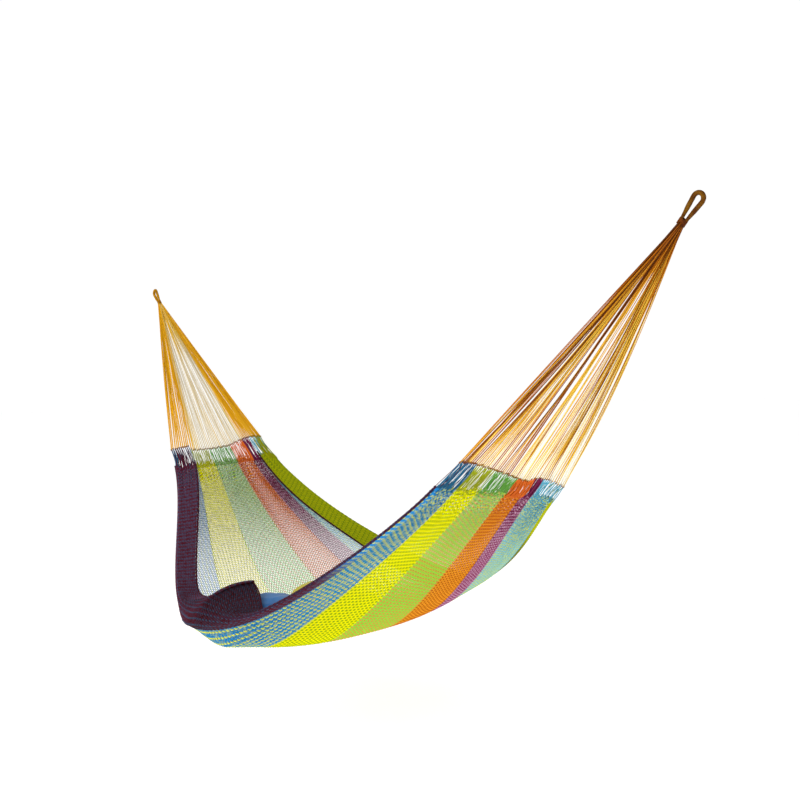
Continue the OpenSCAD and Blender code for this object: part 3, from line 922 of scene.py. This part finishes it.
def eye_path(end, step):
    """Middle of the eye's rope, from one leg's end round the hook to the other's."""
    bend_drop = EYE_R - WRAP_R
    leg_drop = ROPE_END - bend_drop
    far = math.hypot(LEG_HALF, leg_drop)
    lean = math.asin(EYE_R / far) - math.atan(LEG_HALF / leg_drop)
    leg = math.sqrt(far * far - EYE_R * EYE_R)
    total = 2 * leg + EYE_R * (math.pi + 2 * lean)
    s = np.linspace(0, total, int(total / step))
    flat = np.empty((len(s), 2))
    arc = (s - leg) / EYE_R - lean
    flat[:, 0] = EYE_R * np.cos(arc)
    flat[:, 1] = EYE_R * np.sin(arc) - bend_drop
    for chosen, sign, run in ((s < leg, 1, leg - s), (s > total - leg, -1, s - (total - leg))):
        flat[chosen, 0] = sign * (EYE_R * math.cos(lean) - run[chosen] * math.sin(lean))
        flat[chosen, 1] = -EYE_R * math.sin(lean) - run[chosen] * math.cos(lean) - bend_drop
    path = hook(end) + flat[:, :1] * arm_side(end) - flat[:, 1:] * arm_axis(end)
    near_neck = between(-flat[:, 1], 0.03, 0.06)
    return path, mix(WRAP_R, NECK_R, near_neck), s


def wound_cord(name, end, tones):
    """The cord wound tightly round an eye's rope."""
    path, radius, s = eye_path(end, WRAP_STEP)
    tangent = unit(np.gradient(path, axis=0))
    side = unit(np.cross(tangent, LATERAL))
    a = s / WRAP_PITCH * 2 * math.pi
    out = np.cos(a)[:, None] * side + np.sin(a)[:, None] * LATERAL
    coiled = path + (radius - 0.0009)[:, None] * out
    wrapping = tubes(name, coiled[None], WRAP_CORD, unit(coiled - path)[None], sides=4)
    wrapping.data.materials.append(plain_cord(name + "_cord", *tones))
    return wrapping


def whipped_cord(name, end, tones):
    """The cord wound round both legs of an eye at its neck."""
    a = np.linspace(0, 2 * math.pi * WHIP_TURNS, WHIP_TURNS * TURN_STEPS)
    down = NECK_REACH - WHIP_LEN / 2 + WHIP_LEN * a / a[-1]
    out = NECK_R + 0.0007
    whip = (
        hook(end)
        + arm_axis(end) * down[:, None]
        + arm_side(end) * (WHIP_HALF * np.tanh(3 * np.cos(a)) + out * np.cos(a))[:, None]
        + LATERAL * (out * 1.1 * np.sin(a))[:, None]
    )
    whipping = tubes(name, whip[None], WHIP_CORD, arm_axis(end), sides=5)
    whipping.data.materials.append(plain_cord(name + "_cord", *tones))
    return whipping


def build_eye(name, end, body, core_tones, wrap_tones, whip_tones):
    """A hanging eye: a bent rope, the cord wound round it and the whipping at its neck."""
    path, radius, _ = eye_path(end, CORE_STEP)
    core = tubes(name + "_core", path[None], radius - CORE_INSET, LATERAL, sides=12)
    core.data.materials.append(plain_cord(name + "_core_cord", *core_tones))
    for obj, node, slot in (
        (core, "core", "eye_core_cord"),
        (wound_cord(name + "_wrapping", end, wrap_tones), "wrapping", "eye_wrapping_cord"),
        (whipped_cord(name + "_whipping", end, whip_tones), "whipping", "whipping_cord"),
    ):
        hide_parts(f"{body}_{node}")
        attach(obj, body)


build_eye("far_loop", -1, "far_eye", ("#b87a10", "#94600a"), ("#b98508", "#946404"),
          ("#9c6a08", "#7a4c04"))
build_eye("near_loop", 1, "near_eye", ("#5e3004", "#784006"), ("#6c4606", "#4a2402"),
          ("#5e2c02", "#381602"))

# ---- Cushions ------------------------------------------------------------------------------


def apply_modifiers(obj):
    graph = bpy.context.evaluated_depsgraph_get()
    mesh = bpy.data.meshes.new_from_object(obj.evaluated_get(graph))
    obj.modifiers.clear()
    obj.data = mesh


def vertices(mesh):
    points = np.empty(len(mesh.vertices) * 3, np.float32)
    mesh.vertices.foreach_get("co", points)
    return points.reshape(-1, 3)


VOXEL = 0.0055        # size of the cells a cushion's surface is rebuilt from
CLOTH_FRAMES = 20
CLOTH = {
    "tension_stiffness": 25,
    "compression_stiffness": 25,
    "bending_stiffness": 0.3,
    "mass": 0.2,
    "quality": 5,
    "use_pressure": True,
    "uniform_pressure_force": 4,
    "shrink_min": -0.12,
}
PUFF = 0.009          # the furthest that the pressure may move a point of a cushion


def blow_up(obj):
    """Runs the cushion as cloth with air inside, and keeps the shape it ends in."""
    cloth = obj.modifiers.new("cloth", "CLOTH")
    for key, value in CLOTH.items():
        setattr(cloth.settings, key, value)
    cloth.settings.effector_weights.gravity = 0
    cloth.point_cache.frame_start, cloth.point_cache.frame_end = 1, CLOTH_FRAMES
    scene = bpy.context.scene
    scene.frame_start, scene.frame_end = 1, CLOTH_FRAMES
    for number in range(1, CLOTH_FRAMES + 1):
        scene.frame_set(number)
    apply_modifiers(obj)
    scene.frame_set(1)


def swollen(points, swell):
    """The points raised on the side away from the front edge, in shallow folds."""
    low, high = points.min(0), points.max(0)
    x, y, z = ((points - low) / (high - low)).T
    plump = between(y, 0.2, 0.55) * between(z, 0.45, 0.95)
    folds = 1 + 0.16 * np.sin(26 * x + 9 * y) * between(y, 0.35, 0.65)
    raised = points.copy()
    raised[:, 2] += swell * plump * folds
    return raised


def cushion(name, node, body, material, swell=0.0):
    """A soft cushion blown up from the CAD filling, with creases, and hardly larger than its
    cover. With a swell it is plumper on the side away from the front edge."""
    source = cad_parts[node + "_filling"]
    obj = bpy.data.objects.new(name, source.data.copy())
    obj.data.materials.clear()
    bpy.context.scene.collection.objects.link(obj)
    remesh = obj.modifiers.new("remesh", "REMESH")
    remesh.mode = "VOXEL"
    remesh.voxel_size = VOXEL
    apply_modifiers(obj)
    before = vertices(obj.data)
    blow_up(obj)
    move = vertices(obj.data) - before
    far = np.linalg.norm(move, axis=1, keepdims=True)
    after = swollen(before + move * np.minimum(1, PUFF / np.maximum(far, 1e-6)), swell)
    obj.data.vertices.foreach_set("co", after.astype(np.float32).ravel())
    subdivide = obj.modifiers.new("subdivide", "SUBSURF")
    subdivide.levels = subdivide.render_levels = 1
    apply_modifiers(obj)
    obj.data.polygons.foreach_set("use_smooth", np.ones(len(obj.data.polygons), bool))
    obj.data.materials.clear()
    obj.data.materials.append(material)
    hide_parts(node + "_cover", node + "_filling")
    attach(obj, body)


def cloth_material(name, base, dark):
    made = Material(name, base, 0.8)
    tone = made.ramp(made.noise(14, 4), [(0.35, "#000000"), (0.65, "#ffffff")])
    colour = made.blend(tone, base, dark)
    weave = made.blend(made.math("MULTIPLY", made.noise(1200, 1), 0.25), colour, "#101010")
    made.colour(weave)
    made.bump(made.noise(1500, 1), 0.0003, 0.4)
    made.sheen(0.2)
    return made.material


cushion("blue_cushion", "blue_cushion", "front_edge",
        cloth_material("blue_cotton", "#2c6aa4", "#22568a"), swell=0.012)
cushion("yellow_cushion_soft", "yellow_cushion", "yellow_cushion",
        cloth_material("yellow_cotton", "#b8aa00", "#a89c00"))

# ---- Stage, light and camera ---------------------------------------------------------------


def stage_material(name, code):
    made = Material(name, code, 0.9)
    tone = made.math("MULTIPLY", made.noise(0.6, 2), 0.03)
    made.colour(made.blend(tone, code, "#dcdcdc"))
    made.shader.inputs["Emission Color"].default_value = (1, 1, 1, 1)
    made.shader.inputs["Emission Strength"].default_value = 0.32
    return made.material


def lay_floor():
    bpy.ops.mesh.primitive_plane_add(size=60, location=(1.4, 0, -1.62))
    floor = bpy.context.object
    floor.name = "floor"
    floor.data.materials.append(stage_material("pale_floor", "#fafafa"))


def white_world(lighting, seen):
    """A white world that lights the object less brightly than the camera sees it."""
    world = bpy.data.worlds.new("studio")
    bpy.context.scene.world = world
    world.use_nodes = True
    nodes, links = world.node_tree.nodes, world.node_tree.links
    backdrop = nodes["Background"]
    backdrop.inputs["Color"].default_value = (1, 1, 1, 1)
    level = nodes.new("ShaderNodeMapRange")
    level.inputs["To Min"].default_value = lighting
    level.inputs["To Max"].default_value = seen
    links.new(nodes.new("ShaderNodeLightPath").outputs["Is Camera Ray"], level.inputs["Value"])
    links.new(level.outputs["Result"], backdrop.inputs["Strength"])


def area(name, location, target, size, energy):
    data = bpy.data.lights.new(name, "AREA")
    data.size = size
    data.energy = energy
    obj = bpy.data.objects.new(name, data)
    obj.location = location
    obj.rotation_euler = (Vector(target) - Vector(location)).to_track_quat("-Z", "Y").to_euler()
    bpy.context.scene.collection.objects.link(obj)


def place_camera(location, yaw, pitch, roll, lens):
    """A camera turned left from +Y by yaw, up by pitch and clockwise by roll, in degrees."""
    yaw, pitch, roll = (math.radians(a) for a in (yaw, pitch, roll))
    level = math.cos(pitch)
    ahead = Vector((-math.sin(yaw) * level, math.cos(yaw) * level, math.sin(pitch)))
    right = Vector((math.cos(yaw), math.sin(yaw), 0))
    above = right.cross(ahead)
    tilted_right = right * math.cos(roll) - above * math.sin(roll)
    tilted_up = right * math.sin(roll) + above * math.cos(roll)
    turn = Matrix((tilted_right, tilted_up, -ahead)).transposed().to_4x4()
    data = bpy.data.cameras.new("camera")
    data.sensor_width = 36
    data.lens = lens
    data.clip_end = 200
    camera = bpy.data.objects.new("camera", data)
    camera.matrix_world = Matrix.Translation(location) @ turn
    bpy.context.scene.collection.objects.link(camera)
    bpy.context.scene.camera = camera


lay_floor()
white_world(lighting=0.72, seen=1.02)
area("key", (3.2, -3.4, 1.6), (1.4, 0, -0.9), 2.4, 110)
area("fill", (0.4, -3.0, 0.6), (1.0, 0, -0.9), 2.5, 45)
area("front", (4.3, -1.6, -0.9), (1.9, 0, -1.0), 2.0, 45)
place_camera((3.893, -1.814, -0.378), yaw=49.931, pitch=-1.88, roll=0.916, lens=40.49)
bpy.context.scene.view_settings.view_transform = "Standard"
